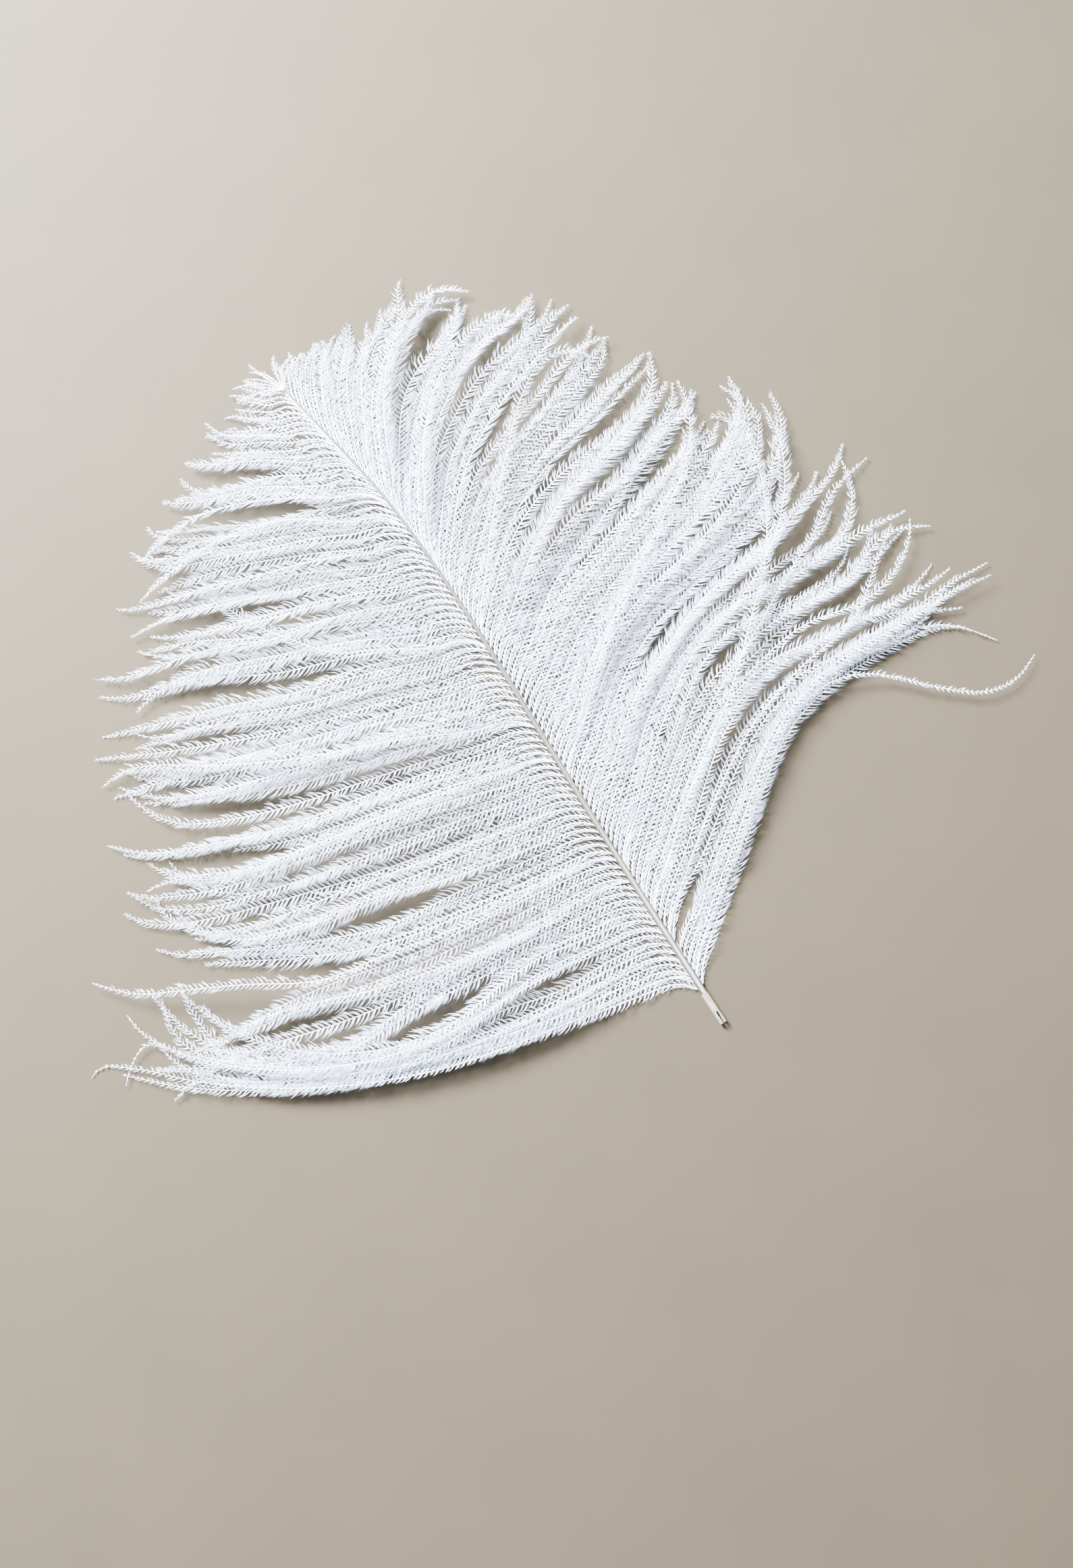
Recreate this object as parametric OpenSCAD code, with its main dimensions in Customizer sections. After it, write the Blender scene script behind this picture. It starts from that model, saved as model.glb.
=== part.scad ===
// White ostrich plume: a slender split quill, a bending shaft and two wide
// vanes of long loose barbs. +Y runs along the shaft from quill to tip, +X is
// the right vane and +Z is the upper face. All lengths are in millimetres.

/* [Shaft] */
// radius of the round quill wall at the cut end
quill_r = 0.7; // [0.4:0.05:1.5]
// radius of the shaft where it ends inside the tip tuft
tip_r = 0.22; // [0.15:0.01:0.5]
// radius of the hollow in the quill
quill_bore_r = 0.42; // [0.2:0.01:0.9]
// length of bare round quill below the first barbs
bare_quill = 4; // [2:0.5:30]
// length of the two prongs that the cut end is split into
prong_length = 2.5; // [0:0.1:5]
// width of the split between the prongs
prong_slit = 0.35; // [0.1:0.05:0.6]
// share of the shaft's radius that is pith
pith_share = 0.6; // [0.4:0.05:0.8]
// gap left in the shaft at each bending line
bend_gap = 0.3; // [0.1:0.05:0.6]

/* [Barbs] */
// barbs on each side of the first shaft length
barbs_first = 16; // [8:1:20]
// barbs on each side of every other shaft length
barbs_each = 19; // [8:1:24]
// blade width of a barb in the middle of the vane
barb_width = 1.05; // [0.4:0.05:1.3]
// blade width of a barb at its pointed end
barb_tip_width = 0.2; // [0.1:0.05:0.4]
// thickness of a barb blade
barb_thickness = 0.4; // [0.2:0.05:0.8]
// how far a barb runs forward along the shaft before it turns outward
barb_sweep = 5; // [2:0.5:8]
// distance from the shaft over which a barb turns outward
barb_turn = 3.2; // [2:0.2:6]
// depth of a barb's foot in the wall of the shaft
barb_foot = 0.05; // [0.02:0.01:0.08]
// height of the resting plane under the shaft's axis
rest_drop = 0.7; // [0.7:0.1:6]

/* [Colours] */
// shaft near the quill
quill_colour = "#efe9dc";
// outer shaft along the vane
cortex_colour = "#b9b0a3";
// soft core of the shaft
pith_colour = "#f3eee0";
// barbs
barb_colour = "#f4f5f8";

/* [Hidden] */
// the shaft's axis: straight lengths between the bending lines
AXIS = [[0, 0, 0], [0, 30, 0], [0.6, 61, 0.8], [1.2, 92, 2], [0, 123, 3.4], [-5.2, 153, 4.6]];
SHAFT_END = 153;
N_SEG = 5;
// stations along one barb outline
N_PTS = 10;
STEPS = [for (i = [0:N_PTS - 1]) i / (N_PTS - 1)];
// barb guides: [root y, heading out of the turn, tip x, tip y, heading at the tip],
// with headings in degrees forward of straight out
LEFT = [
  [4, 4, 101, 50, 50],
  [14, 6, 104, 56, 40],
  [24, 6, 99, 63, 40],
  [36, 8, 94, 72, 50],
  [48, 9, 87, 81, 52],
  [60, 10, 82, 91, 55],
  [72, 12, 77, 101, 55],
  [84, 15, 70, 112, 55],
  [96, 18, 63, 121, 55],
  [108, 22, 56, 130, 50],
  [118, 26, 47, 138, 45],
  [128, 32, 37, 146, 42],
  [138, 38, 27, 153, 42],
  [146, 42, 19, 158, 46],
  [152, 50, 12, 162, 55]
];
RIGHT = [
  [4, 42, 93, 30, -25],
  [14, 42, 93, 41, -12],
  [24, 42, 91, 55, 8],
  [36, 38, 88, 70, 25],
  [48, 33, 85, 84, 35],
  [60, 29, 80, 96, 42],
  [72, 28, 74, 106, 46],
  [84, 30, 67, 115, 48],
  [96, 34, 61, 124, 46],
  [108, 40, 54, 133, 42],
  [118, 44, 45, 142, 42],
  [128, 49, 36, 150, 42],
  [138, 55, 26, 157, 50],
  [146, 62, 15, 161, 65],
  [152, 75, 4, 162, 85]
];
// short barbs of the tip tuft: [heading from straight ahead, length, bend]
TUFT = [[19, 10, -9], [9, 11, -5], [-1, 10.5, 2], [-11, 9.5, 6], [-21, 8.5, 9]];

function column(tab, k) = [for (t = tab) [t[0], t[k]]];
function at(s, tab, k) = lookup(s, column(tab, k));
function axis_x(s) = lookup(s, [for (p = AXIS) [p[1], p[0]]]);
function axis_z(s) = lookup(s, [for (p = AXIS) [p[1], p[2]]]);
function shaft_r(s) = lookup(s, [[bare_quill, quill_r], [SHAFT_END, tip_r]]);
function guide(side) = side < 0 ? LEFT : RIGHT;

// first and last barb roots of one shaft length
function first_root(seg) = seg == 0 ? bare_quill + 0.9 : AXIS[seg][1] + 0.8;
function last_root(seg) = seg == N_SEG - 1 ? SHAFT_END - 1.6 : AXIS[seg + 1][1] - 0.8;
function barb_count(seg) = seg == 0 ? barbs_first : barbs_each;
function root_y(seg, i) =
  first_root(seg) + i * (last_root(seg) - first_root(seg)) / (barb_count(seg) - 1);

// cubic Hermite blend of two end points and two end headings
function hermite(u, a, b, ma, mb) =
  (2 * pow(u, 3) - 3 * pow(u, 2) + 1) * a
  + (pow(u, 3) - 2 * pow(u, 2) + u) * ma
  + (-2 * pow(u, 3) + 3 * pow(u, 2)) * b
  + (pow(u, 3) - pow(u, 2)) * mb;

// forward sweep at the root, less on the short barbs near the tip
function sweep(s) = barb_sweep * min(1, (158 - s) / 25 + 0.2);

// centre line of a barb, in coordinates that run outward from the shaft
function barb_line(side, s) =
  let (
    g = guide(side),
    x0 = side * axis_x(s) + shaft_r(s) - barb_foot,
    a0 = at(s, g, 1),
    a1 = at(s, g, 4),
    start = [x0, s + sweep(s)],
    end = [at(s, g, 2), at(s, g, 3)],
    reach = 1.05 * norm(end - start),
    m0 = reach * [cos(a0), sin(a0)],
    m1 = reach * [cos(a1), sin(a1)]
  )
  [
    for (t = STEPS)
      let (p = hermite(pow(t, 1.8), start, end, m0, m1))
      [p[0], p[1] - sweep(s) * exp((x0 - p[0]) / barb_turn)]
  ];

// half width of a blade at each station, narrower where roots crowd together
function crowding(s) = lookup(s, [[0, 1], [118, 1], [134, 0.62], [153, 0.42]]);
function half_width(s, t) =
  lookup(t, [
    [0, 0.42],
    [0.06, 0.25],
    [0.25, 0.25],
    [0.45, crowding(s) * barb_width / 2],
    [0.85, crowding(s) * barb_width * 0.42],
    [1, barb_tip_width / 2]
  ]);

// direction across the blade at station i; along the shaft at the foot
function across(line, i) =
  let (
    a = line[max(0, i - 1)],
    b = line[min(len(line) - 1, i + 1)],
    d = (b - a) / norm(b - a)
  )
  i == 0 ? [0, 1] : [-d[1], d[0]];

function outline(side, s) =
  let (
    line = barb_line(side, s),
    n = len(line),
    up = [for (i = [0:n - 1]) line[i] + half_width(s, STEPS[i]) * across(line, i)],
    down = [for (i = [0:n - 1]) line[n - 1 - i] - half_width(s, STEPS[n - 1 - i]) * across(line, n - 1 - i)]
  )
  concat(up, down);

// one barb: a thin pointed blade that falls from the shaft to the resting plane
module barb(side, s) {
  rise = axis_z(s) + rest_drop - barb_thickness / 2;
  run = at(s, guide(side), 2) - side * axis_x(s);
  pts = [for (p = outline(side, s)) [side * p[0] - axis_x(s), p[1]]];
  translate([axis_x(s), 0, axis_z(s)])
    rotate([0, side * asin(rise / run), 0])
      linear_extrude(height = barb_thickness, center = true)
        polygon(pts);
}

// one half of the barbs on one side of a shaft length: half 0 is nearer the quill
module barb_group(side, seg, half) {
  n = barb_count(seg);
  cut = ceil(n / 2);
  from = half == 0 ? 0 : cut;
  to = half == 0 ? cut - 1 : n - 1;
  for (i = [from:to])
    barb(side, root_y(seg, i));
}

// places a shape modelled along +Z on the line from a to b
module along(a, b) {
  d = b - a;
  yaw = atan2(d[1], d[0]);
  pitch = acos(d[2] / norm(d));
  translate(a)
    rotate([0, pitch, yaw])
      children();
}

function seg_dir(seg) = (AXIS[seg + 1] - AXIS[seg]) / norm(AXIS[seg + 1] - AXIS[seg]);
function seg_start(seg) =
  seg == 0 ? [0, bare_quill, 0] : AXIS[seg] + bend_gap / 2 * seg_dir(seg);
function seg_end(seg) =
  seg == N_SEG - 1 ? AXIS[N_SEG] : AXIS[seg + 1] - bend_gap / 2 * seg_dir(seg);

// tapered wall of one shaft length; the last one is closed at its end
module cortex(seg) {
  a = seg_start(seg);
  b = seg_end(seg);
  l = norm(b - a);
  ra = shaft_r(a[1]);
  rb = shaft_r(b[1]);
  closed = seg == N_SEG - 1 ? 1 : 0;
  along(a, b)
    difference() {
      cylinder(h = l, r1 = ra, r2 = rb, $fn = 24);
      translate([0, 0, -0.01])
        cylinder(h = l + 0.02 - closed, r1 = ra * pith_share, r2 = rb * pith_share, $fn = 24);
    }
}

// soft core of one shaft length
module pith(seg) {
  a = seg_start(seg);
  b = seg_end(seg);
  l = norm(b - a) - (seg == N_SEG - 1 ? 1.2 : 0.1);
  ra = shaft_r(a[1]) * pith_share - 0.03;
  rb = shaft_r(b[1]) * pith_share - 0.03;
  along(a, b)
    translate([0, 0, 0.05])
      cylinder(h = l - 0.05, r1 = ra, r2 = rb, $fn = 20);
}

// hollow round quill, cut off and split into two pointed prongs
module quill() {
  color(quill_colour)
    difference() {
      translate([0, -prong_length, 0])
        rotate([-90, 0, 0])
          cylinder(h = prong_length + bare_quill, r = quill_r, $fn = 48);
      translate([0, -prong_length - 0.01, 0])
        rotate([-90, 0, 0])
          cylinder(h = prong_length + bare_quill - 0.5, r = quill_bore_r, $fn = 32);
      translate([-prong_slit / 2, -prong_length - 1, -2])
        cube([prong_slit, prong_length + 1, 4]);
      for (side = [-1, 1])
        translate([side * (quill_r + 0.1), -prong_length - 0.6, 0])
          rotate([0, 0, side * 22])
            translate([side < 0 ? -2 : 0, -1, -2])
              cube([2, 1.6, 4]);
    }
}

// dried membrane cap inside the quill
module pulp_plug() {
  color(pith_colour)
    translate([0, 2.1, 0])
      rotate([-90, 0, 0])
        cylinder(h = 1.2, r = quill_bore_r - 0.03, $fn = 24);
}

module rachis_cortex_1() {
  color(quill_colour) cortex(0);
}

module rachis_cortex_2() {
  color(quill_colour) cortex(1);
}

module rachis_cortex_3() {
  color(cortex_colour) cortex(2);
}

module rachis_cortex_4() {
  color(cortex_colour) cortex(3);
}

module rachis_cortex_5() {
  color(cortex_colour) cortex(4);
}

module rachis_pith_1() {
  color(pith_colour) pith(0);
}

module rachis_pith_2() {
  color(pith_colour) pith(1);
}

module rachis_pith_3() {
  color(pith_colour) pith(2);
}

module rachis_pith_4() {
  color(pith_colour) pith(3);
}

module rachis_pith_5() {
  color(pith_colour) pith(4);
}

module left_barbs_1() {
  color(barb_colour) barb_group(-1, 0, 0);
}

module left_barbs_2() {
  color(barb_colour) barb_group(-1, 0, 1);
}

module left_barbs_3() {
  color(barb_colour) barb_group(-1, 1, 0);
}

module left_barbs_4() {
  color(barb_colour) barb_group(-1, 1, 1);
}

module left_barbs_5() {
  color(barb_colour) barb_group(-1, 2, 0);
}

module left_barbs_6() {
  color(barb_colour) barb_group(-1, 2, 1);
}

module left_barbs_7() {
  color(barb_colour) barb_group(-1, 3, 0);
}

module left_barbs_8() {
  color(barb_colour) barb_group(-1, 3, 1);
}

module left_barbs_9() {
  color(barb_colour) barb_group(-1, 4, 0);
}

module left_barbs_10() {
  color(barb_colour) barb_group(-1, 4, 1);
}

module right_barbs_1() {
  color(barb_colour) barb_group(1, 0, 0);
}

module right_barbs_2() {
  color(barb_colour) barb_group(1, 0, 1);
}

module right_barbs_3() {
  color(barb_colour) barb_group(1, 1, 0);
}

module right_barbs_4() {
  color(barb_colour) barb_group(1, 1, 1);
}

module right_barbs_5() {
  color(barb_colour) barb_group(1, 2, 0);
}

module right_barbs_6() {
  color(barb_colour) barb_group(1, 2, 1);
}

module right_barbs_7() {
  color(barb_colour) barb_group(1, 3, 0);
}

module right_barbs_8() {
  color(barb_colour) barb_group(1, 3, 1);
}

module right_barbs_9() {
  color(barb_colour) barb_group(1, 4, 0);
}

module right_barbs_10() {
  color(barb_colour) barb_group(1, 4, 1);
}

// one short curved barb of the tuft that hides the end of the shaft
module tuft_barb(heading, length, bend) {
  n = 6;
  line = [for (i = [0:n]) let (t = i / n) [bend * 0.12 * t * t, length * t]];
  w = [for (i = [0:n]) 0.24 - 0.14 * i / n];
  pts = concat(
    [for (i = [0:n]) line[i] + [w[i], 0]],
    [for (i = [0:n]) line[n - i] - [w[n - i], 0]]
  );
  rise = AXIS[N_SEG][2] + rest_drop - barb_thickness / 2;
  translate(AXIS[N_SEG])
    rotate([0, 0, heading])
      rotate([-asin(rise / (length + 1.2)), 0, 0])
        translate([0, 1.2, 0])
          linear_extrude(height = barb_thickness, center = true)
            polygon(pts);
}

module tip_barbs() {
  color(barb_colour)
    for (t = TUFT)
      tuft_barb(t[0], t[1], t[2]);
}

quill();
pulp_plug();
rachis_cortex_1();
rachis_cortex_2();
rachis_cortex_3();
rachis_cortex_4();
rachis_cortex_5();
rachis_pith_1();
rachis_pith_2();
rachis_pith_3();
rachis_pith_4();
rachis_pith_5();
left_barbs_1();
left_barbs_2();
left_barbs_3();
left_barbs_4();
left_barbs_5();
left_barbs_6();
left_barbs_7();
left_barbs_8();
left_barbs_9();
left_barbs_10();
right_barbs_1();
right_barbs_2();
right_barbs_3();
right_barbs_4();
right_barbs_5();
right_barbs_6();
right_barbs_7();
right_barbs_8();
right_barbs_9();
right_barbs_10();
tip_barbs();
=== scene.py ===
"""White ostrich plume: its looks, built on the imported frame.

Lengths are in millimetres until they reach Blender. Angles are in degrees where a name says so.
"""
import math
from collections import namedtuple

import bpy
import numpy as np
from mathutils import Matrix, Vector


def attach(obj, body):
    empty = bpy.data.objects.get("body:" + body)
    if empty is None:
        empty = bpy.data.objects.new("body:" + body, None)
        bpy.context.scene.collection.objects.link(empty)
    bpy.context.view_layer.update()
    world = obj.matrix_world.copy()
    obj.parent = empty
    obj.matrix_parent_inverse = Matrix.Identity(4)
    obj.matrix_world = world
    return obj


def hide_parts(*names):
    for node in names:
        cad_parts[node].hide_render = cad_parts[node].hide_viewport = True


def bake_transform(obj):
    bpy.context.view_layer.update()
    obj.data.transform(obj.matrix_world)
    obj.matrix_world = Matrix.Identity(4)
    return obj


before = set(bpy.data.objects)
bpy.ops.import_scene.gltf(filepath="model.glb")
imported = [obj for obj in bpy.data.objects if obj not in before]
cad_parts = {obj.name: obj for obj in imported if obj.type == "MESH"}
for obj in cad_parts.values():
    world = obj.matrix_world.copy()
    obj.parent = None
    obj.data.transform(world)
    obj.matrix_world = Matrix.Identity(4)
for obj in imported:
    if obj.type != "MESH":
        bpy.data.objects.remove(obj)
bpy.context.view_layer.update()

MM = 0.001           # a millimetre in metres
REST = -0.7          # height of the plane the plume lies on
SEED = 11

# ------------------------------------------------------------------ shaft ---
# The shaft's centre line and radius at distances along Y from the origin, as in the CAD.
SHAFT_Y = [-3, 0, 8, 20, 30, 46, 61, 76, 90, 100, 108, 116, 124, 133, 142, 149, 153]
SHAFT_X = [0, 0, 0.05, 0.15, 0.25, 0.55, 0.9, 1.35, 1.6, 1.5, 1.25, 0.9, 0.1, -1.3, -3.0, -4.3, -5.0]
SHAFT_Z = [0, 0, 0, 0, 0.1, 0.4, 0.85, 1.4, 1.95, 2.35, 2.7, 3.1, 3.4, 3.8, 4.2, 4.45, 4.6]
RADIUS_Y = [4, 40, 100, 153]
RADIUS = [0.7, 0.56, 0.36, 0.2]
TABLE_STEP = 0.25
ROUNDING = 41        # table steps over which the line's corners are rounded

BODIES = ["base", "lower", "middle", "upper", "end"]
# Barb group k is rooted between edges k and k + 1.
GROUP_EDGES = [4, 14.5, 30, 45.5, 61, 76.5, 92, 107.5, 123, 138.5, 153]
GROUPS = len(GROUP_EDGES) - 1


def rounded_table(at, values):
    """A fine table of the line through the values, with its corners rounded."""
    fine = np.arange(at[0], at[-1] + TABLE_STEP, TABLE_STEP)
    line = np.interp(fine, at, values)
    kernel = np.hanning(ROUNDING)
    pad = ROUNDING // 2
    before = line[0] - (line[1:pad + 1][::-1] - line[0])
    after = line[-1] + (line[-1] - line[-pad - 1:-1][::-1])
    padded = np.concatenate([before, line, after])
    return fine, np.convolve(padded, kernel / kernel.sum(), "valid")


SIDEWAYS = rounded_table(SHAFT_Y, SHAFT_X)
HEIGHT = rounded_table(SHAFT_Y, SHAFT_Z)


def shaft_x(y):
    """Sideways place of the centre line; the quill below it is straight."""
    return np.interp(y, *SIDEWAYS) * np.clip((np.asarray(y, float) - 1) / 6, 0, 1)


def shaft_z(y):
    return np.interp(y, *HEIGHT)


def shaft_r(y):
    return np.interp(y, RADIUS_Y, RADIUS)


# ------------------------------------------------------------ vane tables ---
PITCH = 1.63         # between the roots of neighbouring barbs
FIRST_ROOT = 4.3
END_OF_ROOTS = 152.4

# A guide has a root on the shaft, how much the barbs about it draw together, a lift and a way,
# as (out, forward) points. A stray is a single barb that goes its own way, with its share of
# the full width of fluff. Roots and forward are measured from the cut end of the quill, which
# lies CUT below the origin.
CUT = 2.5
Guide = namedtuple("Guide", "root tight lift way")
Stray = namedtuple("Stray", "side root lift fullness way")
# Where a vane parts: side, root, distance along the barbs, length and width of the gap.
Parting = namedtuple("Parting", "side root far spread gap")

LEFT = [Guide(*row) for row in [
    (6.4, 0.45, 0.0, [(10, 12), (30, 16.3), (50, 22), (70, 29.7), (84, 38), (93, 46), (100, 55)]),
    (11, 0.65, 0.6, [(10, 16), (30, 19), (52, 24.5), (72, 33), (86, 43), (94, 51.5), (99, 57.5)]),
    (16, 0.5, 0.3, [(10, 20.5), (28, 22.5), (48, 25.5), (66, 31), (82, 41), (92, 51), (98, 58.5)]),
    (21.5, 0.4, 1.4, [(10, 26.5), (25, 28), (42, 27.5), (60, 31), (76, 39), (88, 50), (93, 57)]),
    (27, 0.6, 0.8, [(10, 31.5), (25, 33), (45, 33.5), (60, 35), (72, 40), (82, 47), (92, 56)]),
    (32.5, 0.80, 1.2,
     [(10, 36.5), (25, 37.5), (42, 39), (58, 42.3), (70, 46.3), (79, 48), (88, 49.5)]),
    (38, 0.55, 0.5, [(10, 42), (25, 44), (45, 48), (60, 53), (74, 59), (84, 64), (92, 70)]),
    (45, 0.35, 1.2, [(10, 49.5), (25, 52), (45, 55.5), (62, 60), (74, 65), (82, 70), (87, 78)]),
    (51, 0.3, 0.6, [(10, 55.5), (25, 58.5), (45, 62.5), (62, 67.5), (74, 72), (82, 77), (86, 84)]),
    (57, 0.22, 1.2, [(10, 61.5), (25, 65), (45, 69.5), (60, 74), (72, 78.5), (80, 83), (84, 89)]),
    (63, 0.3, 0.5, [(10, 67.5), (25, 71.5), (45, 76.5), (60, 81), (71, 85), (78, 90), (82, 94)]),
    (70, 0.22, 1.2, [(10, 75), (25, 79), (43, 84), (58, 89), (69, 93), (76, 97), (80, 101)]),
    (77, 0.3, 0.6, [(10, 82), (24, 86), (42, 91), (56, 96), (66, 100), (73, 104), (78, 107)]),
    (84, 0.22, 1.2,
     [(10, 89), (23, 93.5), (40, 98.5), (53, 103.5), (63, 107), (70, 110), (75, 113)]),
    (91, 0.3, 0.5,
     [(9, 96.5), (22, 101.5), (37, 106.5), (50, 111), (59, 114), (66, 117), (70, 120)]),
    (98, 0.22, 1.2,
     [(9, 103.5), (21, 108.5), (35, 113.5), (46, 118), (55, 121.5), (61, 125), (64, 129)]),
    (105, 0.3, 0.6,
     [(9, 111), (20, 116), (32, 120.5), (42, 124.5), (50, 128), (56, 131), (59, 134)]),
    (112, 0.22, 1.2,
     [(9, 118), (18, 122.5), (29, 127), (38, 131), (45, 134), (51, 137), (53, 140)]),
    (119, 0.3, 0.6,
     [(9, 125.5), (17, 130), (26, 134), (34, 137.5), (40, 140), (45, 143), (47, 146)]),
    (126, 0.22, 1.2, [(9, 133), (16, 137.5), (24, 141.5), (30, 144.5), (35, 147.5), (38, 150)]),
    (133, 0.3, 0.6, [(9, 140), (14, 143.5), (20, 147.5), (26, 151), (30, 154.5)]),
    (139.5, 0.22, 1.0, [(9.5, 147), (13, 149.5), (18, 153), (22, 156), (24, 158.5)]),
    (146, 0.3, 0.5, [(9.5, 153), (12.5, 155.5), (15.5, 158), (18.5, 161)]),
    (151, 0.22, 0.8, [(9, 156.5), (11, 159), (13, 161.5), (14.5, 164)]),
    (155.5, 0.3, 0.5, [(7.5, 159.5), (8.6, 162), (9.5, 165.5)]),
]]
RIGHT = [Guide(*row) for row in [
    (6.4, 0.6, 0.0,
     [(7, 14.5), (18.8, 22.3), (30.8, 31.3), (42, 39.5), (54, 43.5), (68, 44), (82, 42), (93, 37)]),
    (11, 0.78, 0.8,
     [(7.5, 18.5), (19, 26.5), (31, 35), (43, 42), (56, 45), (72, 44.5), (86, 41.5), (95, 36)]),
    (16, 0.7, 0.4,
     [(8, 23), (20, 31.5), (32, 39.5), (44, 45), (58, 46), (74, 44.5), (88, 43), (95, 41)]),
    (21, 0.8, 1.4,
     [(8, 28.5), (20, 39.5), (32, 48), (46, 52), (60, 51), (76, 48), (88, 47.5), (95, 49)]),
    (26, 0.6, 0.6,
     [(8, 34), (20, 44), (32, 51.5), (46, 54.5), (60, 54), (74, 54), (86, 57), (92, 61)]),
    (31.5, 0.8, 1.3,
     [(8, 40), (20, 50), (32, 57.5), (46, 60.5), (60, 59.5), (74, 61), (86, 66), (91, 70)]),
    (37.5, 0.6, 0.5,
     [(8, 45.5), (20, 55.5), (32, 63), (46, 66.5), (60, 67), (74, 70), (84, 75.5), (89, 80)]),
    (43.5, 0.8, 1.3,
     [(8, 51), (20, 60.5), (34, 68), (48, 71.5), (62, 73.5), (74, 77), (82, 82), (86, 87)]),
    (50, 0.45, 0.5,
     [(8, 57), (20, 66.5), (34, 73), (48, 76.5), (62, 80), (73, 84), (80, 90), (83, 95)]),
    (57, 0.62, 1.3,
     [(8, 63.5), (20, 72.5), (34, 78.5), (48, 82), (60, 85.5), (70, 90), (77, 97), (79, 104)]),
    (64, 0.45, 0.5,
     [(8, 70), (20, 78.5), (34, 84.5), (48, 88.5), (60, 93), (69, 98), (74, 104), (76, 111)]),
    (71, 0.62, 1.3, [(8, 77), (20, 85), (34, 90.5), (47, 95), (58, 100), (66, 105.5), (71, 112)]),
    (78, 0.4, 0.5, [(8, 84.5), (20, 92.5), (33, 98), (45, 102), (56, 107), (64, 112), (68, 118)]),
    (84.5, 0.58, 1.3,
     [(8, 92), (20, 100.5), (32, 106), (44, 110), (54, 114), (61, 118), (65, 124)]),
    (90.5, 0.4, 0.5, [(8, 99), (19, 108), (31, 114), (42, 118), (51, 121.5), (58, 125), (62, 130)]),
    (96.5, 0.58, 1.3,
     [(8, 106), (18, 115.5), (29, 121.5), (40, 125.5), (49, 128.5), (56, 131), (61, 133)]),
    (102.5, 0.55, 0.6,
     [(7.5, 113), (17, 123), (27, 129.5), (37, 133.5), (46, 136), (54, 138), (59, 137)]),
    (108.5, 0.45, 1.3,
     [(7, 120), (15, 130), (24, 137), (33, 141.5), (41, 144), (48, 146), (53, 150)]),
    (114.5, 0.55, 0.6, [(6, 126.5), (13, 137), (21, 144.5), (29, 149.5), (36, 152.5), (43, 154)]),
    (120.5, 0.5, 1.3, [(5, 132.5), (10, 142), (17, 150), (25, 156), (31, 159.5), (37, 160.5)]),
    (126.5, 0.45, 0.6, [(3.5, 137.5), (7.5, 146.5), (13, 154), (19, 159.5), (25, 164)]),
    (132.5, 0.4, 1.2, [(2, 142.5), (5, 150), (9.5, 156.5), (14.5, 161.5), (18, 165.5)]),
    (138.5, 0.4, 0.5, [(0.5, 147.5), (3, 153.5), (6.5, 158.5), (10.5, 162.5)]),
    (144.5, 0.35, 1.0, [(-1.2, 152), (1, 156.5), (3.6, 161), (6.5, 165)]),
    (150.5, 0.3, 0.5, [(-2.6, 156), (-1.4, 159.5), (0.5, 163), (2, 165)]),
    (155.5, 0.3, 0.8, [(-4.0, 159.5), (-3.4, 162.5), (-2.5, 165)]),
]]
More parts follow.
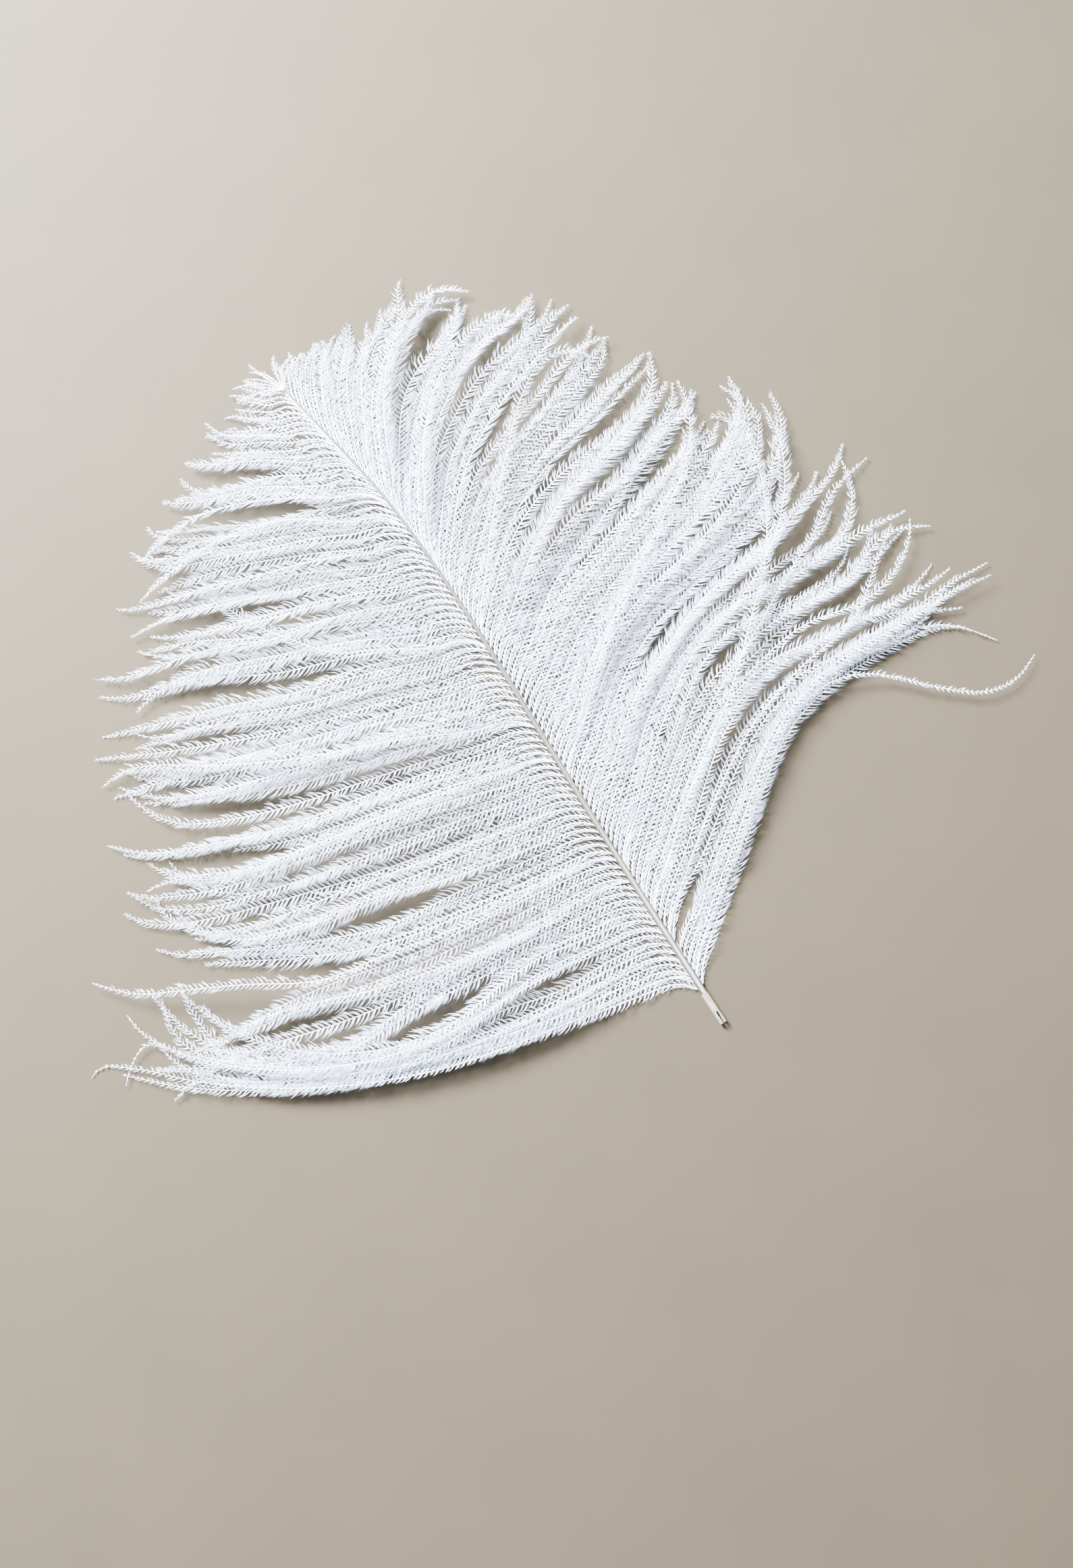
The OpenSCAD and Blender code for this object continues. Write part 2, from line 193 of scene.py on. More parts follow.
STRAYS = [Stray(*row) for row in [
    (1, 8.6, 0.8, 0.62,
     [(7.5, 16.5), (20, 25.5), (33, 35), (44, 42), (54, 44), (62, 41.8), (68, 37), (73, 31.5),
      (80, 25), (86, 22.8), (94, 23.5)]),
    (1, 24, 3.0, 0.8,
     [(8, 31), (20, 41), (35, 51), (48, 62), (58, 71), (66, 82), (71.5, 94), (75, 109)]),
    (1, 27.5, 2.6, 0.7,
     [(8, 35), (20, 45), (35, 54), (48, 60), (60, 66), (70, 71), (80, 77.5), (90.5, 80.5)]),
    (1, 34, 3.2, 0.8,
     [(8, 42), (20, 53), (35, 63), (50, 68), (62, 75), (71, 84), (76, 93), (78, 102)]),
    (1, 18, 2.2, 0.6, [(8, 26), (20, 35), (35, 44), (50, 49), (66, 51.5), (78, 58.5), (89.5, 64)]),
    (1, 55, 2.8, 0.8, [(8, 62), (20, 73), (33, 82), (46, 90), (57, 98), (65, 107), (69, 117)]),
    (1, 88, 2.6, 0.8, [(8, 98), (17, 109), (27, 120), (36, 129), (44, 134), (51, 134), (56, 130)]),
    (1, 117, 2.6, 0.9, [(5, 129), (11, 141), (19, 150.5), (28, 157), (35, 158), (40, 155)]),
    (1, 104, 2.4, 0.8, [(6, 117), (13, 129), (22, 139), (33, 146), (43, 148), (50, 144)]),
    (-1, 36.5, 2.6, 0.6,
     [(10, 40), (28, 41), (45, 44.5), (60, 47.5), (72, 54.5), (84, 61.5), (90, 65.5), (96, 73)]),
    (-1, 31.5, 2.4, 0.7,
     [(10, 34), (22, 34), (38, 37), (52, 40.5), (66, 45.5), (75, 47.8), (86, 48)]),
    (-1, 9.5, 1.2, 0.5,
     [(10, 13.5), (30, 17), (52, 23), (72, 32.5), (88, 44), (97, 53), (103, 57.5), (108, 56)]),
    (-1, 13, 1.5, 0.4,
     [(10, 17.5), (30, 20), (52, 24.5), (72, 34), (86, 45), (95, 54), (99, 52), (103, 47)]),
    (-1, 19.5, 1.8, 0.5,
     [(10, 24), (28, 25.5), (48, 26.5), (66, 32.5), (80, 41), (90, 51), (94, 58), (95, 65)]),
    (-1, 86, 2.8, 0.8, [(9, 92), (18, 97), (25, 101), (31, 109), (36, 117), (39, 124), (41, 132)]),
    (-1, 67, 2.6, 0.8, [(10, 73), (25, 79), (42, 86), (56, 94), (66, 101), (72, 103.5), (79, 103)]),
    (-1, 59, 2.4, 0.8, [(10, 63), (28, 66), (46, 69), (60, 72), (70, 76), (77, 77.5), (83, 77)]),
    (-1, 116, 2.4, 0.8, [(9, 123), (18, 129), (28, 132.5), (38, 134), (47, 133), (53, 130)]),
    (-1, 122, 2.2, 0.8, [(9, 129), (17, 134), (27, 139), (36, 142), (44, 142), (50, 139.5)]),
]]
PARTINGS = [Parting(*row) for row in [
    (1, 16.5, 10, 6, 1.5), (1, 34, 29, 10, 1.4), (1, 46, 38, 10, 1.3), (1, 31, 52, 9, 1.6),
    (1, 26, 68, 9, 1.9), (1, 40, 82, 8, 1.8), (1, 92, 58, 9, 1.1), (1, 66, 62, 10, 1.1),
    (1, 108, 34, 8, 0.9), (1, 78, 40, 9, 0.8), (-1, 29.5, 64, 14, 2.2), (-1, 35.5, 76, 12, 2.6),
    (-1, 24, 48, 13, 1.6), (-1, 16, 38, 10, 1.4), (-1, 18, 25, 8, 1.2), (-1, 42, 46, 12, 1.6),
    (-1, 80, 60, 14, 1.8), (-1, 58, 70, 12, 1.6), (-1, 100, 42, 10, 1.4), (-1, 122, 26, 8, 1.2),
]]


# ----------------------------------------------------------------- curves ---
def smooth(x, low=0.0, high=1.0):
    """Rises smoothly from 0 at low to 1 at high."""
    x = np.clip((x - low) / (high - low), 0, 1)
    return x * x * (3 - 2 * x)


def arc(path):
    """Distance along a curve at every point."""
    return np.concatenate([[0], np.cumsum(np.linalg.norm(np.diff(path, axis=0), axis=1))])


def even(path, step=0.5):
    """The same curve in space with points at equal distances, and its length."""
    along = arc(path)
    count = max(8, int(along[-1] / step))
    at = np.linspace(0, along[-1], count + 1)
    return np.stack([np.interp(at, along, path[:, axis]) for axis in range(3)], 1), along[-1]


def stations(path, count=60):
    """Points at even shares of the length of a flat curve."""
    along = arc(path)
    at = np.linspace(0, along[-1], count)
    return np.stack([np.interp(at, along, path[:, axis]) for axis in range(2)], 1)


def across(path):
    """Unit vectors at right angles to a flat curve, on its left."""
    tangent = np.gradient(path, axis=0)
    tangent /= np.linalg.norm(tangent, axis=1)[:, None] + 1e-9
    return np.stack([-tangent[:, 1], tangent[:, 0]], 1)


def spline(points, per=14):
    """A smooth curve through the points, with knots by the root of their distance."""
    ends = np.array(points, float)
    ends = np.concatenate([[2 * ends[0] - ends[1]], ends, [2 * ends[-1] - ends[-2]]])
    knots = np.concatenate([[0], np.cumsum(np.linalg.norm(np.diff(ends, axis=0), axis=1) ** 0.5)])
    out = []
    for i in range(1, len(ends) - 2):
        t = np.linspace(knots[i], knots[i + 1], per, endpoint=False)[:, None]

        def mix(a, b, j, k):
            return (knots[k] - t) / (knots[k] - knots[j]) * a + (t - knots[j]) / (knots[k] - knots[j]) * b

        a1 = mix(ends[i - 1], ends[i], i - 1, i)
        a2 = mix(ends[i], ends[i + 1], i, i + 1)
        a3 = mix(ends[i + 1], ends[i + 2], i + 1, i + 2)
        b1 = mix(a1, a2, i - 1, i + 1)
        b2 = mix(a2, a3, i, i + 2)
        out.append(mix(b1, b2, i, i + 1))
    return np.concatenate(out + [ends[-2:-1]])


def curl(path, degrees, start):
    """Turns the heading of a flat curve from share start of its length on, more and more."""
    along = arc(path)
    step = np.diff(path, axis=0)
    turn = np.radians(degrees) * smooth(along / along[-1], start, 1.0)[1:]
    c, s = np.cos(turn), np.sin(turn)
    step = np.stack([step[:, 0] * c - step[:, 1] * s, step[:, 0] * s + step[:, 1] * c], 1)
    return np.concatenate([path[:1], path[:1] + np.cumsum(step, axis=0)])


def frames(path):
    """Unit tangent, across (in the vane) and up vectors along a curve in space."""
    tangent = np.gradient(path, axis=0)
    tangent /= np.linalg.norm(tangent, axis=1)[:, None]
    sideways = np.cross(np.array([0, 0, 1.0]), tangent)
    sideways /= np.linalg.norm(sideways, axis=1)[:, None]
    return tangent, sideways, np.cross(tangent, sideways)


# ---------------------------------------------------------- ways of barbs ---
# The way beside the shaft, as shares of the first guide point's distance out and forward.
NEAR_OUT = (0.12, 0.27, 0.54)
NEAR_FORWARD = {-1: (0.34, 0.60, 0.83), 1: (0.22, 0.41, 0.66)}
GAP_REACH = 5        # how far along the shaft a parting still pushes barbs

TIP_DRIFT = 2.2      # sideways drift at a barb's tip, as a standard deviation
MIDDLE_DRIFT = {-1: 1.7, 1: 1.3}     # the same in its outer middle
WAVE_HEIGHT = (0.1, 0.9)
WAVE_TURN = (6, 12)  # radians of wave over the whole barb
STRAY_DRIFT = 0.35   # the share of all this that a stray takes
FULL_LENGTH = 70     # shorter barbs drift and rise less
CURL = (6, 28)       # mean and standard deviation, in degrees
STRAY_CURL = (4, 6)
CURL_START = (0.62, 0.85)
BARB_POINTS = 150    # they are closer together near the shaft
LIFT_SPREAD = 1.3
FAR_Z_SPREAD = 0.9


def full_way(side, root, way):
    """The way of a guide from its root on the shaft, bending out beside the shaft."""
    y0 = root - CUT
    x0 = side * float(shaft_x(y0))
    way = np.array(way, float) - [0, CUT]
    out, rise = way[0] - [x0, y0]
    start = [(x0 + out * f, y0 + rise * g) for f, g in zip(NEAR_OUT, NEAR_FORWARD[side])]
    return spline(np.concatenate([[(x0 + 0.1, y0)], start, way]))


def guided_way(side, root, guides, ways):
    """Way of a regular barb between two guides, its lift, and its place about the nearer one."""
    below = int(np.clip(np.searchsorted([g.root for g in guides], root) - 1, 0, len(guides) - 2))
    share = (root - guides[below].root) / (guides[below + 1].root - guides[below].root)
    share = np.clip(share, 0, 1)
    path = (1 - share) * ways[below] + share * ways[below + 1]
    near = below if share < 0.5 else below + 1
    place = (share if share < 0.5 else share - 1) * 2
    draw = guides[near].tight * smooth(np.linspace(0, 1, len(path)), 0.15, 0.8)
    path = path + (ways[near] - path) * draw[:, None]
    away = across(path)
    for parting in [row for row in PARTINGS if row.side == side]:
        off = root - parting.root
        push = parting.gap * np.sign(off) * math.exp(-abs(off) / GAP_REACH)
        push = push * np.exp(-(((arc(path) - parting.far) / parting.spread) ** 2))
        path = path + away * push[:, None]
    return path, guides[near].lift, place


def barb_curve(side, y0, guides, ways, stray, rng):
    """Centre line of the barb rooted at y0, or of a stray, in the frame of the row."""
    root = y0 + CUT
    if stray:
        path, lift, place = stations(full_way(side, root, stray.way)), stray.lift, 0.0
    else:
        path, lift, place = guided_way(side, root, guides, ways)
    u = np.linspace(0, 1, len(path))
    wide = min(1.0, arc(path)[-1] / FULL_LENGTH)
    drift = rng.normal(0, TIP_DRIFT) * u ** 2
    drift = drift + rng.normal(0, MIDDLE_DRIFT[side]) * np.sin(math.pi * u) * u
    waves = rng.uniform(*WAVE_HEIGHT) * np.sin(u * rng.uniform(*WAVE_TURN) + rng.uniform(0, 6))
    drift += waves * smooth(u, 0.1, 0.7)
    path = path + across(path) * (drift * wide * (STRAY_DRIFT if stray else 1))[:, None]
    turn = rng.normal(*STRAY_CURL) if stray else rng.normal(*CURL) + place * 8
    path = curl(path, turn, rng.uniform(*CURL_START))
    along = arc(path)
    if stray:
        share = rng.uniform(0.96, 1.0)
    else:
        share = 1 - 0.16 * rng.random() ** 1.5 - (rng.random() < 0.16) * rng.uniform(0.05, 0.2)
    size = along[-1] * share
    at = np.linspace(0, 1, BARB_POINTS) ** 1.25 * size
    path = np.stack([np.interp(at, along, path[:, axis]) for axis in range(2)], 1)
    q = at / size
    lift = (0.2 + lift * 1.3 + abs(rng.normal(0, LIFT_SPREAD))) * wide
    far_z = REST + 0.3 + abs(rng.normal(0, FAR_Z_SPREAD))
    root_z = float(shaft_z(y0)) - 0.45 * float(shaft_r(y0))
    z = root_z * (1 - q) ** 1.2 + far_z * q ** 1.5
    z = z + lift * np.sin(math.pi * q ** 0.75) * smooth(q, 0.02, 0.3)
    z += 0.2 * np.sin(q * rng.uniform(8, 16) + rng.uniform(0, 6)) * q
    return np.stack([side * path[:, 0], path[:, 1], z], 1)


# ------------------------------------------------------ rami and barbules ---
RAMUS_SIDES = 5
RAMUS_AT = [0, 0.15, 0.7, 1]             # shares of the barb's length
RAMUS_RADIUS = [0.15, 0.12, 0.08, 0.03]
# A barbule is a spike with three corners at its root, three at its middle and one point.
SPIKE_CORNERS = 7
SPIKE = np.array([[0, 2, 1],
                  [0, 1, 4], [0, 4, 3], [1, 2, 5], [1, 5, 4], [2, 0, 3], [2, 3, 5],
                  [3, 4, 6], [4, 5, 6], [5, 3, 6]])
BUNCH = (3, 5)       # a bunch has three or four barbules
BUNCH_DRAW = 0.34    # how far apart their roots stay, as a share of the even spacing
NEAR_SHAFT = 10.0    # up to here barbules are shorter and lie closer along their barb
MAX_BARBULE = 4.2
HALF_WIDTH = 0.070   # of a long barbule at its root
MIDDLE_SHARE = 0.72  # width at the middle of a barbule, as a share of that at its root


def tube(path, radius, sides):
    """Closed tube with a pointed far end, as vertices and triangles."""
    _, sideways, up = frames(path)
    rings = len(path) - 1
    angle = np.arange(sides) * 2 * math.pi / sides
    ring = (np.cos(angle)[None, :, None] * sideways[:rings, None]
            + np.sin(angle)[None, :, None] * up[:rings, None])
    v = (path[:rings, None] + ring * radius[:rings, None, None]).reshape(-1, 3)
    v = np.concatenate([v, path[rings:]])
    i = (np.arange(rings - 1) * sides)[:, None]
    j = np.arange(sides)[None]
    k = (j + 1) % sides
    last = (rings - 1) * sides
    tip = [[last + a, last + (a + 1) % sides, rings * sides] for a in range(sides)]
    root = [[0, a + 1, a] for a in range(1, sides - 1)]
    f = [np.stack([i + j, i + k, i + sides + k], -1).reshape(-1, 3),
         np.stack([i + j, i + sides + k, i + sides + j], -1).reshape(-1, 3),
         np.array(tip), np.array(root)]
    return v, np.concatenate(f)


def ramus(path):
    """The tapered stem of a barb, on every second point of its curve."""
    thin = path[::2] if len(path) % 2 else np.concatenate([path[::2], path[-1:]])
    radius = np.interp(np.linspace(0, 1, len(thin)), RAMUS_AT, RAMUS_RADIUS)
    return tube(thin, radius, RAMUS_SIDES)


def barbules(path, length, full, rng, roll, pitch, taper=0.32):
    """Two rows of fine curved barbules along one barb, as closed three-sided spikes."""
    tangent, sideways, up = frames(path)
    step = length / (len(path) - 1)
    rows = []
    for row in (-1, 1):
        at = np.arange(0.8, length - 0.25, pitch)
        count = len(at)
        at = at + rng.uniform(-0.3, 0.3, count) * pitch
        # Neighbours lean together in bunches.
        bunch_ends = np.cumsum(rng.integers(*BUNCH, count))
        bunch = np.searchsorted(bunch_ends, np.arange(count), "right")
        middle = np.array([at[bunch == g].mean() for g in range(bunch.max() + 1)])[bunch]
        at = middle + (at - middle) * BUNCH_DRAW
        lean = middle - at
        q = np.clip(at / length, 0, 1)
        near = np.clip(at / NEAR_SHAFT, 0, 1)
        fade = np.clip((1 - q) / taper, 0, 1) ** 0.8
        width = full * (0.34 + 0.66 * smooth(near)) * (0.10 + 0.90 * fade)
        angle = 24 + 22 * near - 9 * (1 - fade) + rng.normal(0, 1, count) * (2.5 + 4 * q)
        angle = np.radians(angle)
        mood = rng.normal(0, 1, bunch.max() + 1)[bunch]
        size = width / np.sin(angle) * (1 + rng.uniform(-0.1, 0.1, count) * (1 + q))
        size = np.minimum(size * (1 + 0.15 * mood), MAX_BARBULE)
        place = np.clip(at / step, 0, len(path) - 1.001)
        k = place.astype(int)
        w = (place - k)[:, None]
        forward, out, above = tangent[k], sideways[k] * row, up[k]
        root = path[k] * (1 - w) + path[k + 1] * w - above * 0.05
        tilt = roll * row + 0.17 * mood + rng.normal(0, 0.05, count)
        out = out * np.cos(tilt)[:, None] + above * np.sin(tilt)[:, None]
        bend = rng.uniform(0.12, 0.34, count)
        droop = rng.uniform(-0.02, 0.16, count)
        first = forward * np.cos(angle + 0.10)[:, None] + out * np.sin(angle + 0.10)[:, None]
        second = forward * np.cos(angle - bend)[:, None] + out * np.sin(angle - bend)[:, None]
        elbow = root + first * (size * 0.5)[:, None]
        tip = elbow + second * (size * 0.5)[:, None] - above * (droop * size)[:, None]
        tip = tip + forward * lean[:, None]
        half = HALF_WIDTH * np.clip(size / 2.0, 0.55, 1.0)[:, None]
        flat = np.cross(above, first)
        corners = [flat * half, -flat * half, above * half * 0.9]
        rows.append(np.stack([root + c for c in corners]
                             + [elbow + c * MIDDLE_SHARE for c in corners] + [tip], 1))
    v = np.concatenate([spikes.reshape(-1, 3) for spikes in rows])
    v[:, 2] = np.maximum(v[:, 2], REST + 0.03)
    spikes = np.arange(len(v) // SPIKE_CORNERS)[:, None, None] * SPIKE_CORNERS
    return v, (spikes + SPIKE[None]).reshape(-1, 3)


def mesh_object(name, parts, material):
    """One smooth mesh object in metres from (vertices, triangles) parts in millimetres."""
    v = np.concatenate([vertices for vertices, _ in parts])
    first = np.cumsum([0] + [len(vertices) for vertices, _ in parts])
    f = np.concatenate([triangles + n for (_, triangles), n in zip(parts, first)])
    mesh = bpy.data.meshes.new(name)
    mesh.vertices.add(len(v))
    mesh.vertices.foreach_set("co", (v * MM).astype(np.float32).ravel())
    mesh.loops.add(len(f) * 3)
    mesh.loops.foreach_set("vertex_index", f.astype(np.int32).ravel())
    mesh.polygons.add(len(f))
    mesh.polygons.foreach_set("loop_start", np.arange(0, len(f) * 3, 3, dtype=np.int32))
    mesh.polygons.foreach_set("use_smooth", np.ones(len(f), dtype=bool))
    mesh.update(calc_edges=True)
    mesh.materials.append(material)
    piece = bpy.data.objects.new(name, mesh)
    bpy.context.scene.collection.objects.link(piece)
    return piece


# -------------------------------------------------------------- materials ---
def new_material(name):
    material = bpy.data.materials.new(name)
    material.use_nodes = True
    tree = material.node_tree
    return material, tree, tree.nodes["Principled BSDF"]


def colour_ramp(tree, factor, stops):
    ramp = tree.nodes.new("ShaderNodeValToRGB")
    while len(ramp.color_ramp.elements) < len(stops):
        ramp.color_ramp.elements.new(0.5)
    for element, (place, colour) in zip(ramp.color_ramp.elements, stops):
        element.position = place
        element.color = (*colour, 1)
    tree.links.new(factor, ramp.inputs["Fac"])
    return ramp.outputs["Color"]


def noise_of(tree, where, scale, detail=2.0):
    noise = tree.nodes.new("ShaderNodeTexNoise")
    noise.inputs["Scale"].default_value = scale
    noise.inputs["Detail"].default_value = detail
    tree.links.new(where, noise.inputs["Vector"])
    return noise.outputs["Fac"]


def mapped(tree, value, low, high, to_low=0.0, to_high=1.0):
    scaled = tree.nodes.new("ShaderNodeMapRange")
    for socket, number in (("From Min", low), ("From Max", high), ("To Min", to_low), ("To Max", to_high)):
        scaled.inputs[socket].default_value = number
    tree.links.new(value, scaled.inputs["Value"])
    return scaled.outputs["Result"]


def part_of_vector(tree, vector, axis):
    split = tree.nodes.new("ShaderNodeSeparateXYZ")
    tree.links.new(vector, split.inputs["Vector"])
    return split.outputs[axis]


def barb_material(name, low, high, rough, see_through):
    """Two fine mottled tones; see_through is the share of light let through to the far side."""
    material, tree, bsdf = new_material(name)
    where = tree.nodes.new("ShaderNodeTexCoord").outputs["Object"]
    colour = colour_ramp(tree, noise_of(tree, where, 1000, 4), [(0.40, low), (0.58, high)])
    tree.links.new(colour, bsdf.inputs["Base Color"])
    bsdf.inputs["Roughness"].default_value = rough
    bsdf.inputs["Specular IOR Level"].default_value = 0.25
    if see_through:
        glow = tree.nodes.new("ShaderNodeBsdfTranslucent")
        tree.links.new(colour, glow.inputs["Color"])
        mix = tree.nodes.new("ShaderNodeMixShader")
        mix.inputs["Fac"].default_value = see_through
        tree.links.new(bsdf.outputs["BSDF"], mix.inputs[1])
        tree.links.new(glow.outputs["BSDF"], mix.inputs[2])
        tree.links.new(mix.outputs["Shader"], tree.nodes["Material Output"].inputs["Surface"])
    return material


def horn_material(name, stops, painted_side_shade):
    """Horn whose colour changes along the shaft, with painted shade down its sides: a dark colour stands
    in for the shade where the round shaft turns from the light.
    """
    material, tree, bsdf = new_material(name)
    where = tree.nodes.new("ShaderNodeTexCoord").outputs["Object"]
    along = mapped(tree, part_of_vector(tree, where, "Y"), 0.0, 0.153)
    normal = tree.nodes.new("ShaderNodeNewGeometry").outputs["Normal"]
    # Painted shade: where the surface faces less straight up, down the shaft's sides, a dark colour
    # replaces the horn's own colour.
    unshaded_top = mapped(tree, part_of_vector(tree, normal, "Z"), 0.93, 0.998)
    mix = tree.nodes.new("ShaderNodeMix")
    mix.data_type = "RGBA"
    tree.links.new(unshaded_top, mix.inputs["Factor"])
    mix.inputs[6].default_value = (*painted_side_shade, 1)
    tree.links.new(colour_ramp(tree, along, stops), mix.inputs[7])
    tree.links.new(mix.outputs[2], bsdf.inputs["Base Color"])
    rough = mapped(tree, noise_of(tree, where, 900), 0.0, 1.0, 0.32, 0.55)
    tree.links.new(rough, bsdf.inputs["Roughness"])
    return material


BARBULE = barb_material("barbule_white", (0.49, 0.56, 0.69), (0.72, 0.80, 0.95), 0.6, 0.12)
RAMUS = barb_material("ramus_white", (0.60, 0.65, 0.73), (0.78, 0.84, 0.93), 0.5, 0.0)
# The last colour is not the horn's own: it is painted shade for the sides of the shaft.
CORTEX = horn_material("shaft_horn",
                       [(0.0, (0.30, 0.285, 0.245)), (0.30, (0.125, 0.118, 0.101)),
                        (0.55, (0.066, 0.0625, 0.0545)), (1.0, (0.052, 0.049, 0.043))],
                       (0.036, 0.0335, 0.027))
QUILL = barb_material("quill_horn", (0.16, 0.145, 0.115), (0.24, 0.22, 0.18), 0.38, 0.0)
PITH = barb_material("pith", (0.80, 0.77, 0.68), (0.86, 0.83, 0.76), 0.8, 0.0)


# ------------------------------------------------------------------ vanes ---
BARBULE_PITCH = 0.28
TIP_PITCH = 0.26
FLUFF = {-1: 2.3, 1: 2.45}           # reach of the barbules to each side of a full barb
LOW_THINNING = {-1: 0.20, 1: 0.30}   # how much narrower the fluff is low on the shaft
TAPER_LESS = {-1: 0.02, 1: 0.08}     # how much later the fluff narrows towards the tip


def move_group(piece, group):
    """The first and last groups ride; the others bend about their hinge, as their roots do."""
    if group == 0:
        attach(piece, "base")
        return
    if group == GROUPS - 1:
        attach(piece, "end")
        return
    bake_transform(piece)


def group_of(root):
    return int(np.clip(np.searchsorted(GROUP_EDGES, root, "right") - 1, 0, GROUPS - 1))


def fluff_of(path, length, side, root, stray, rng):
    """The barbules of one barb of a vane."""
    full = FLUFF[side] * rng.uniform(0.80, 1.12) * min(1.0, 0.22 + length / 58)
    full *= stray.fullness if stray else 1
    full *= 1 - LOW_THINNING[side] * math.exp(-((root - 18) / 22) ** 2)
    roll = -side * rng.normal(0.30, 0.22)
    taper = 0.14 if stray else rng.uniform(0.24, 0.36) - TAPER_LESS[side]
    return barbules(path, length, full, rng, roll, BARBULE_PITCH, taper)


def build_side(side, guides, seed):
    """The ten groups of barbs of one vane, each as a piece of rami and a piece of barbules."""
    rng = np.random.default_rng(seed)
    name = "left" if side < 0 else "right"
    rami, fluff, points, owners = [[[] for _ in range(GROUPS)] for _ in range(4)]
    ways = [stations(full_way(side, guide.root, guide.way)) for guide in guides]
    jobs = [(root, None) for root in np.arange(FIRST_ROOT, END_OF_ROOTS, PITCH)]
    jobs += [(stray.root - CUT, stray) for stray in STRAYS if stray.side == side]
    for root, stray in jobs:
        path, length = even(barb_curve(side, root, guides, ways, stray, rng))
        group = group_of(root)
        rami[group].append(ramus(path))
        fluff[group].append(fluff_of(path, length, side, root, stray, rng))
        points[group].append(path[::8, :2])
        owners[group].append(np.full(len(path[::8]), root))
    for group in range(GROUPS):
        pieces = (mesh_object(f"{name}_rami_{group + 1:02d}", rami[group], RAMUS),
                  mesh_object(f"{name}_barbules_{group + 1:02d}", fluff[group], BARBULE))
        for piece in pieces:
            move_group(piece, group)
            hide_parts(f"{name}_barbs_{group + 1}")


# --------------------------------------------------------------- tip tuft ---
# Barbs at the shaft's end: heading left of forward in degrees, length, and twist in degrees.
TUFT = [(66, 9, 14), (58, 11, 6), (50, 10, -16), (36, 12.5, 12), (29, 10, 4),
        (22, 12.5, -10), (10, 11, 14), (-2, 11, -14), (-14, 10, -20), (-28, 9, -24)]
TUFT_ROOT = 152.6
TUFT_POINTS = 24
TUFT_FLUFF = 0.75


def build_tuft():
    """Short curling barbs that hide the shaft's end."""
    rng = np.random.default_rng(SEED + 2)
    start = np.array([float(shaft_x(TUFT_ROOT)), TUFT_ROOT, float(shaft_z(TUFT_ROOT))])
    t = np.linspace(0, 1, TUFT_POINTS)
    rami, fluff = [], []
    for degrees, size, twist in TUFT:
        heading = np.radians(90 + degrees + twist * 2.2 * t ** 1.5)
        step = size / (TUFT_POINTS - 1)
        x = start[0] + np.concatenate([[0], np.cumsum(np.cos(heading[:-1]) * step)])
        y = start[1] + np.concatenate([[0], np.cumsum(np.sin(heading[:-1]) * step)])
        far_z = REST + 0.5 + rng.uniform(0, 1.6)
        z = start[2] * (1 - t) ** 1.1 + far_z * t + 1.1 * np.sin(math.pi * t)
        path, length = even(np.stack([x, y, z], 1), 0.4)
        rami.append(tube(path, np.linspace(0.09, 0.03, len(path)), RAMUS_SIDES))
        fluff.append(barbules(path, length, TUFT_FLUFF, rng, rng.normal(0, 0.3), TIP_PITCH))
    for name, parts, material in (("tip_rami", rami, RAMUS), ("tip_barbules", fluff, BARBULE)):
        piece = mesh_object(name, parts, material)
        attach(piece, "end")
        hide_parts("tip_barbs")


# ----------------------------------------------------------- shaft pieces ---
SHAFT_CUTS = [14.5, 45.5, 76.5, 107.5, 138.5]


def shaft_piece(name, y0, y1, scale, sides, groove, material, closed_tip):
    """One length of a round rod along the shaft, with a groove on top and capped ends."""
    count = max(6, int((y1 - y0) / 0.5))
    y = np.linspace(y0, y1, count + 1)
    path = np.stack([shaft_x(y), y, shaft_z(y)], 1)
    _, sideways, up = frames(path)
    angle = np.arange(sides) * 2 * math.pi / sides
    dent = 1 - groove * np.exp(-((np.degrees(angle) - 90) / 22) ** 2)
    radius = shaft_r(y) * scale
    if closed_tip:
        radius = radius * np.clip((y1 - y) / 0.8, 0.05, 1) ** 0.5
    ring = (np.cos(angle)[None, :, None] * -sideways[:, None]
            + np.sin(angle)[None, :, None] * up[:, None])
    v = (path[:, None] + ring * (radius[:, None] * dent[None])[..., None]).reshape(-1, 3)
    i = (np.arange(count) * sides)[:, None]
    j = np.arange(sides)
    k = (j + 1) % sides
    f = [np.stack([i + j, i + sides + k, i + k], -1).reshape(-1, 3),
         np.stack([i + j, i + sides + j, i + sides + k], -1).reshape(-1, 3)]
    centre = np.full(sides, sides)
    # The caps have their own corners, so the sides shade straight through from piece to piece.
    caps = [(np.concatenate([v[:sides], path[:1]]), np.stack([centre, j, k], -1)),
            (np.concatenate([v[-sides:], path[-1:]]), np.stack([centre, k, j], -1))]
    return mesh_object(name, [(v, np.concatenate(f))] + caps, material)


def build_shaft(kind, scale, sides, groove, material, first, last):
    """The shaft's wall or core in six pieces, four of which bend about a hinge."""
    cuts = [first, *SHAFT_CUTS, last]
    end = len(cuts) - 2
    for group in range(len(cuts) - 1):
        piece = shaft_piece(f"{kind}_{group + 1}", cuts[group], cuts[group + 1], scale, sides,
                            groove, material, group == end)
        if group == 0:
            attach(piece, "base")
        elif group == end:
            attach(piece, "end")
        else:
            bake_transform(piece)
        shown_for = [f"rachis_{kind}_{k + 1}" for k in range(len(BODIES)) if k in (group - 1, group)]
        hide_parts(*shown_for)


build_side(-1, LEFT, SEED)
build_side(1, RIGHT, SEED + 1)
build_tuft()
build_shaft("cortex", 1.0, 20, 0.16, CORTEX, 4.0, 153.4)
build_shaft("pith", 0.6, 12, 0.0, PITH, 4.3, 152.0)
for shown, look in (("quill", QUILL), ("pulp_plug", PITH)):
    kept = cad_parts[shown]
    kept.data.materials.clear()
    kept.data.materials.append(look)

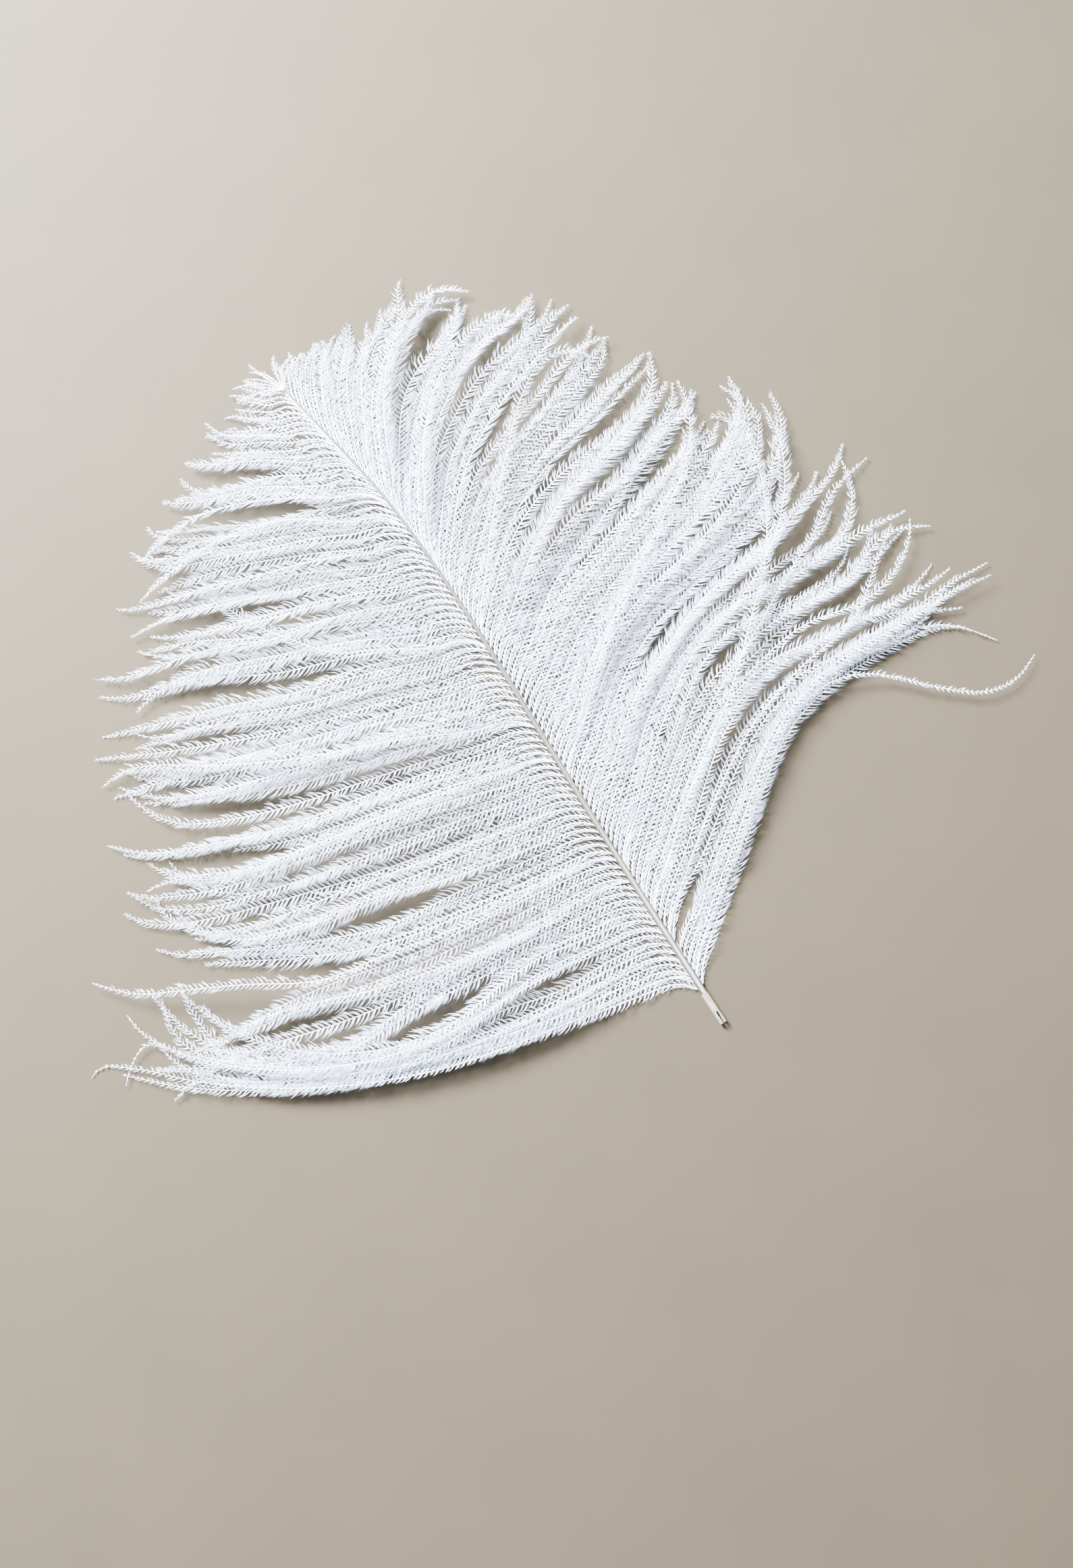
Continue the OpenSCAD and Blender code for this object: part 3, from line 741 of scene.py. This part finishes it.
# ------------------------------------------------------------------ stage ---
FLOOR_SIZE = 3.0     # metres
floor_material, floor_tree, floor_bsdf = new_material("pale_floor")
floor_where = floor_tree.nodes.new("ShaderNodeTexCoord").outputs["Object"]
floor_colour = colour_ramp(floor_tree, noise_of(floor_tree, floor_where, 40),
                           [(0.3, (0.031, 0.0224, 0.0108)), (0.7, (0.034, 0.0248, 0.0121))])
floor_tree.links.new(floor_colour, floor_bsdf.inputs["Base Color"])
floor_bsdf.inputs["Roughness"].default_value = 0.9
bpy.ops.mesh.primitive_plane_add(size=FLOOR_SIZE, location=(0, 0.07, REST * MM))
floor = bpy.context.object
floor.name = "floor"
floor.data.materials.append(floor_material)

world = bpy.data.worlds.new("studio")
bpy.context.scene.world = world
world.use_nodes = True
background = world.node_tree.nodes["Background"]
background.inputs["Color"].default_value = (0.86, 0.93, 1.0, 1)
background.inputs["Strength"].default_value = 1.75


def area_light(name, place, target, size, power, colour):
    light = bpy.data.lights.new(name, "AREA")
    light.shape = "DISK"
    light.size = size
    light.energy = power
    light.color = colour
    lamp = bpy.data.objects.new(name, light)
    lamp.location = place
    lamp.rotation_euler = (Vector(target) - Vector(place)).to_track_quat("-Z", "Y").to_euler()
    bpy.context.scene.collection.objects.link(lamp)


area_light("key", (-0.12, 0.51, 0.36), (0, 0.085, 0), 0.24, 99.0, (0.97, 0.985, 1.0))

# ----------------------------------------------------------------- camera ---
# Almost straight down, tilted 11 degrees, with the shaft running to the upper left.
SENSOR = 36.0        # along the picture's longer side
FOCAL_SHARE = 1750 / 2324    # focal length as a share of that side
AIM = (-5.07, 55.5, REST)
DISTANCE = 233.33
TILT = math.radians(11.06)
right = Vector((0.8436, -0.5370, 0))
away = Vector((0.5370, 0.8436, 0))
view = (away * math.sin(TILT) + Vector((0, 0, -math.cos(TILT)))).normalized()
up = right.cross(view).normalized()
lens = bpy.data.cameras.new("camera")
lens.sensor_width = SENSOR
lens.lens = SENSOR * FOCAL_SHARE
lens.clip_start = 0.01
camera = bpy.data.objects.new("camera", lens)
turned = Matrix((right, up, -view)).transposed().to_4x4()
camera.matrix_world = Matrix.Translation((Vector(AIM) - view * DISTANCE) * MM) @ turned
bpy.context.scene.collection.objects.link(camera)
bpy.context.scene.camera = camera
